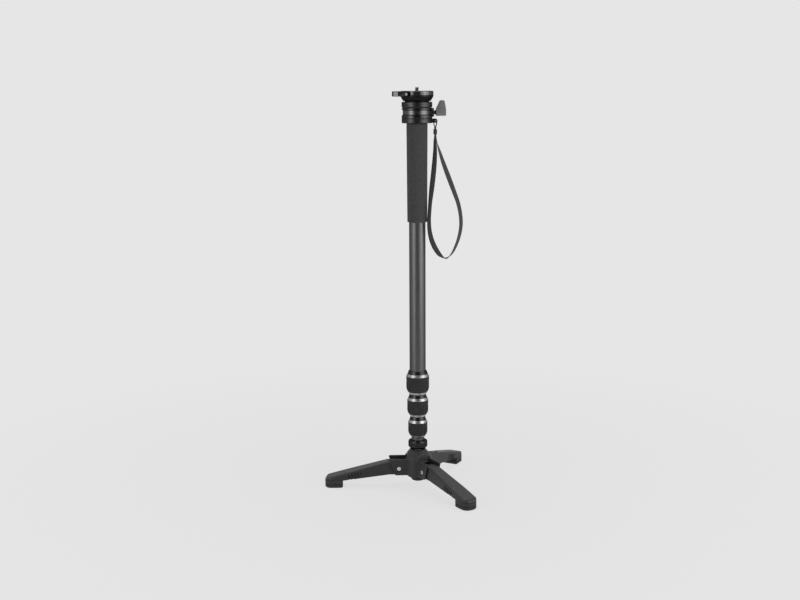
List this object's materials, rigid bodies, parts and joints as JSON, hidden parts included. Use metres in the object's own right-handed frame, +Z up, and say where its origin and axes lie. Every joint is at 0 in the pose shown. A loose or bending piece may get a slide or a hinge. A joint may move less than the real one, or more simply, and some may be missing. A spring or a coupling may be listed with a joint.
{
  "type": "camera monopod",
  "caption": "Telescoping camera monopod with twist locks, foam grip, wrist strap, panning quick-release head and a ball-jointed base with folding legs.",
  "frame": {"origin": "middle of the footprint's box on the floor, with the legs spread and the column upright", "axes": "+Z up along the column, -X along the left leg, -Y towards the viewer"},
  "size_m": [0.2524, 0.2878, 0.6898],
  "materials": {
    "head_black": "black anodised, satin",
    "tube_grey": "dark grey anodised, satin",
    "lock_bright": "turned, bright",
    "lock_collar": "black anodised",
    "ribbed_rubber": "ribbed, matt",
    "sole_rubber": "matt",
    "pad_rubber": "fine grain, matt",
    "grip_foam": "closed-cell foam, matt",
    "leg_plastic": "fine moulded grain, satin",
    "pin_steel": "turned",
    "knob_plastic": "moulded, matt",
    "webbing": "flat woven nylon",
    "bearing_plastic": "natural acetal"
  },
  "bodies": {
    "base": {"hub": "leg_plastic", "hinge_pins": "pin_steel", "hinge_washers": "bearing_plastic", "bottom_cap": "leg_plastic", "rubber_foot": "sole_rubber", "drag_spring": "pin_steel"},
    "left_leg": {"leg_1": "leg_plastic", "shoe_1": "sole_rubber"},
    "front_leg": {"leg_2": "leg_plastic", "shoe_2": "sole_rubber"},
    "back_leg": {"leg_3": "leg_plastic", "shoe_3": "sole_rubber"},
    "ball_cup": {"ball_seat": "bearing_plastic"},
    "column_foot": {"ball_stem": "pin_steel", "base_plug": "lock_collar", "tube_4": "tube_grey", "guide_cap_4": "bearing_plastic"},
    "tilt_collar": {"tilt_ring": "lock_collar"},
    "section_3": {"tube_3": "tube_grey", "guide_cap_3": "bearing_plastic", "ferrule_3": "lock_collar", "collet_3": "bearing_plastic"},
    "section_2": {"tube_2": "tube_grey", "guide_cap_2": "bearing_plastic", "ferrule_2": "lock_collar", "collet_2": "bearing_plastic"},
    "main_column": {"tube_1": "tube_grey", "ferrule_1": "lock_collar", "collet_1": "bearing_plastic", "grip": "grip_foam", "head_spigot": "head_black", "strap_collar": "head_black", "strap_bar": "pin_steel", "strap_tab": "webbing", "strap_crimp": "webbing", "wrist_strap": "webbing", "pan_base": "head_black", "pan_washer": "pad_rubber", "brake_pad": "bearing_plastic"},
    "lock_1": {"twist_ring_1": "lock_bright", "lock_sleeve_1": "ribbed_rubber"},
    "lock_2": {"twist_ring_2": "lock_bright", "lock_sleeve_2": "ribbed_rubber"},
    "lock_3": {"twist_ring_3": "lock_bright", "lock_sleeve_3": "ribbed_rubber"},
    "pan_brake": {"pan_knob": "knob_plastic", "knob_screw": "pin_steel"},
    "pan_head": {"pan_ring": "head_black", "pan_spindle": "pin_steel", "retaining_ring": "pin_steel", "clamp_body": "head_black", "clamp_bolt": "pin_steel"},
    "plate_lever": {"clamp_lever": "head_black", "lever_screw": "pin_steel"},
    "quick_plate": {"camera_plate": "head_black", "plate_pad": "pad_rubber"},
    "camera_stud": {"camera_screw": "pin_steel"}
  },
  "joints": [
    {"name": "left_leg_fold", "type": "hinge", "parent": "base", "child": "left_leg", "pos_m": [0.0028, 0, 0.033], "axis": [0, -1, 0], "range_deg": [-98, 0]},
    {"name": "front_leg_fold", "type": "hinge", "parent": "base", "child": "front_leg", "pos_m": [0.0538, -0.02944, 0.033], "axis": [0.866, 0.5, 0], "range_deg": [-98, 0]},
    {"name": "back_leg_fold", "type": "hinge", "parent": "base", "child": "back_leg", "pos_m": [0.0538, 0.02944, 0.033], "axis": [-0.866, 0.5, 0], "range_deg": [-98, 0]},
    {"name": "column_swivel", "type": "hinge", "parent": "base", "child": "ball_cup", "pos_m": [0.0368, 0, 0.051], "axis": [0, 0, 1], "continuous": true},
    {"name": "column_tilt", "type": "hinge", "parent": "ball_cup", "child": "column_foot", "pos_m": [0.0368, 0, 0.051], "axis": [1, 0, 0], "range_deg": [0, 10]},
    {"name": "tilt_ring_turn", "type": "hinge", "parent": "column_foot", "child": "tilt_collar", "pos_m": [0.0368, 0, 0.075], "axis": [0, 0, 1], "range_deg": [0, 180]},
    {"name": "section_3_slide", "type": "slide", "parent": "column_foot", "child": "section_3", "axis": [0, 0, 1], "range_m": [0, 0.35]},
    {"name": "section_2_slide", "type": "slide", "parent": "section_3", "child": "section_2", "axis": [0, 0, 1], "range_m": [0, 0.35]},
    {"name": "main_column_slide", "type": "slide", "parent": "section_2", "child": "main_column", "axis": [0, 0, 1], "range_m": [0, 0.35]},
    {"name": "lock_1_twist", "type": "hinge", "parent": "main_column", "child": "lock_1", "pos_m": [0.0368, 0, 0.18], "axis": [0, 0, 1], "range_deg": [0, 120]},
    {"name": "lock_2_twist", "type": "hinge", "parent": "section_2", "child": "lock_2", "pos_m": [0.0368, 0, 0.14], "axis": [0, 0, 1], "range_deg": [0, 120]},
    {"name": "lock_3_twist", "type": "hinge", "parent": "section_3", "child": "lock_3", "pos_m": [0.0368, 0, 0.1], "axis": [0, 0, 1], "range_deg": [0, 120]},
    {"name": "head_pan", "type": "hinge", "parent": "main_column", "child": "pan_head", "pos_m": [0.0368, 0, 0.66], "axis": [0, 0, 1], "continuous": true},
    {"name": "pan_knob_turn", "type": "hinge", "parent": "main_column", "child": "pan_brake", "pos_m": [0.0768, 0, 0.6479], "axis": [1, 0, 0], "range_deg": [0, 180]},
    {"name": "lever_swing", "type": "hinge", "parent": "pan_head", "child": "plate_lever", "pos_m": [0.01916, -0.02427, 0.678], "axis": [-0.5878, -0.809, 0], "range_deg": [0, 90]},
    {"name": "plate_lift", "type": "slide", "parent": "pan_head", "child": "quick_plate", "axis": [0, 0, 1], "range_m": [0, 0.02]},
    {"name": "camera_screw_turn", "type": "hinge", "parent": "quick_plate", "child": "camera_stud", "pos_m": [0.0368, 0, 0.685], "axis": [0, 0, 1], "continuous": true}
  ]
}
